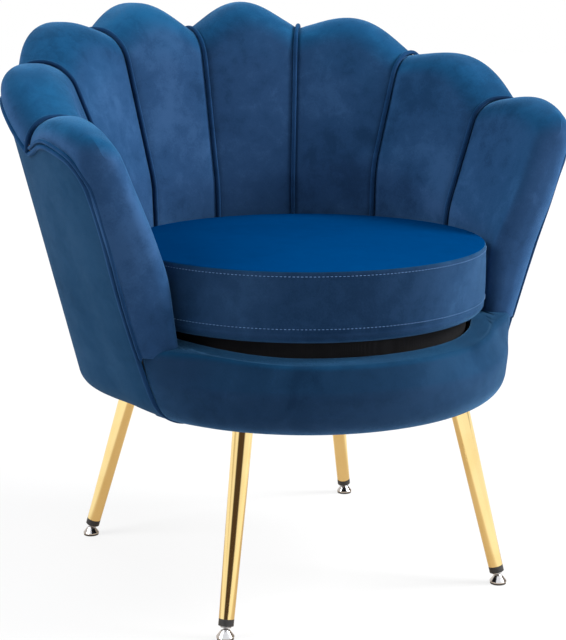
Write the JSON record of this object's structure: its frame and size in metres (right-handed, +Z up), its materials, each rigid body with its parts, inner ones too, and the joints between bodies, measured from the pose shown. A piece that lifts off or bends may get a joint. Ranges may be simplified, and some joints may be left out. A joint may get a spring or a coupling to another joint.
{
  "type": "armchair",
  "caption": "Tub armchair with a scalloped, channelled shell back in blue velvet, a loose round boxed seat cushion and slim splayed gold legs on tilting feet",
  "frame": {"origin": "On the floor, under the middle of the chair's outer box.", "axes": "+Z is up, the chair faces -Y, and +X is the sitter's left."},
  "size_m": [0.7732, 0.6923, 0.785],
  "materials": {
    "velvet": "short pile, soft sheen",
    "foam": "matte foam",
    "black_cloth": "matte non-woven",
    "webbing": "elastic weave",
    "plywood": "raw plywood",
    "gold": "polished gold plating",
    "zinc_steel": "zinc plated",
    "chrome": "polished",
    "black_plastic": "satin",
    "sole_plastic": "matte",
    "zip_tape": "woven tape, nylon coil",
    "zip_metal": "dark nickel"
  },
  "bodies": {
    "chair": {"arm_nose_left": "velvet", "arm_nose_right": "velvet", "arm_piping_left": "velvet", "arm_piping_right": "velvet", "back_shell": "plywood", "base_board": "plywood", "deck_pad": "black_cloth", "dust_cover": "black_cloth", "front_rail_pad": "velvet", "hoop_back": "plywood", "hoop_front": "plywood", "leg_front_left": "gold", "leg_front_right": "gold", "leg_plates": "zinc_steel", "leg_rear_left": "gold", "leg_rear_right": "gold", "outside_cover": "velvet", "petal_1_left": "velvet", "petal_1_right": "velvet", "petal_2_left": "velvet", "petal_2_right": "velvet", "petal_3_left": "velvet", "petal_3_right": "velvet", "petal_4_left": "velvet", "petal_4_right": "velvet", "plate_bolts": "zinc_steel", "plug_front_left": "black_plastic", "plug_front_right": "black_plastic", "plug_rear_left": "black_plastic", "plug_rear_right": "black_plastic", "shell_blocks": "plywood", "straps_cross": "webbing", "straps_long": "webbing", "tee_nuts": "zinc_steel", "welt_1_left": "velvet", "welt_1_right": "velvet", "welt_2_left": "velvet", "welt_2_right": "velvet", "welt_3_left": "velvet", "welt_3_right": "velvet", "welt_middle": "velvet"},
    "cushion": {"cushion_core": "foam", "cushion_top": "velvet", "cushion_boxing": "velvet", "cushion_bottom": "velvet", "cushion_zip": "zip_tape"},
    "zip_runner": {"zip_slider": "zip_metal"},
    "screw_front_left": {"stem_front_left": "zinc_steel"},
    "glide_front_left": {"dome_front_left": "chrome", "sole_front_left": "sole_plastic"},
    "screw_front_right": {"stem_front_right": "zinc_steel"},
    "glide_front_right": {"dome_front_right": "chrome", "sole_front_right": "sole_plastic"},
    "screw_rear_left": {"stem_rear_left": "zinc_steel"},
    "glide_rear_left": {"dome_rear_left": "chrome", "sole_rear_left": "sole_plastic"},
    "screw_rear_right": {"stem_rear_right": "zinc_steel"},
    "glide_rear_right": {"dome_rear_right": "chrome", "sole_rear_right": "sole_plastic"}
  },
  "joints": [
    {"name": "cushion_lift", "type": "slide", "parent": "chair", "child": "cushion", "axis": [0, 0, 1], "range_m": [0, 0.35]},
    {"name": "zip_run", "type": "hinge", "parent": "cushion", "child": "zip_runner", "pos_m": [0, -0.06676, 0.434], "axis": [0, 0, 1], "range_deg": [-35, 35]},
    {"name": "screw_out_front_left", "type": "slide", "parent": "chair", "child": "screw_front_left", "axis": [-0.1805, -0.1617, -0.9702], "range_m": [0, 0.01]},
    {"name": "tilt_front_left", "type": "hinge", "parent": "screw_front_left", "child": "glide_front_left", "pos_m": [-0.21008, -0.24673, 0.0085], "axis": [-0.6672, 0.7448, 0], "range_deg": [-8, 8]},
    {"name": "screw_out_front_right", "type": "slide", "parent": "chair", "child": "screw_front_right", "axis": [0.1805, -0.1617, -0.9702], "range_m": [0, 0.01]},
    {"name": "tilt_front_right", "type": "hinge", "parent": "screw_front_right", "child": "glide_front_right", "pos_m": [0.21008, -0.24673, 0.0085], "axis": [-0.6672, -0.7448, 0], "range_deg": [-8, 8]},
    {"name": "screw_out_rear_left", "type": "slide", "parent": "chair", "child": "screw_rear_left", "axis": [-0.2114, 0.2002, -0.9567], "range_m": [0, 0.01]},
    {"name": "tilt_rear_left", "type": "hinge", "parent": "screw_rear_left", "child": "glide_rear_left", "pos_m": [-0.21985, 0.20335, 0.0085], "axis": [0.6877, 0.726, 0], "range_deg": [-8, 8]},
    {"name": "screw_out_rear_right", "type": "slide", "parent": "chair", "child": "screw_rear_right", "axis": [0.2114, 0.2002, -0.9567], "range_m": [0, 0.01]},
    {"name": "tilt_rear_right", "type": "hinge", "parent": "screw_rear_right", "child": "glide_rear_right", "pos_m": [0.21985, 0.20335, 0.0085], "axis": [0.6877, -0.726, 0], "range_deg": [-8, 8]}
  ]
}
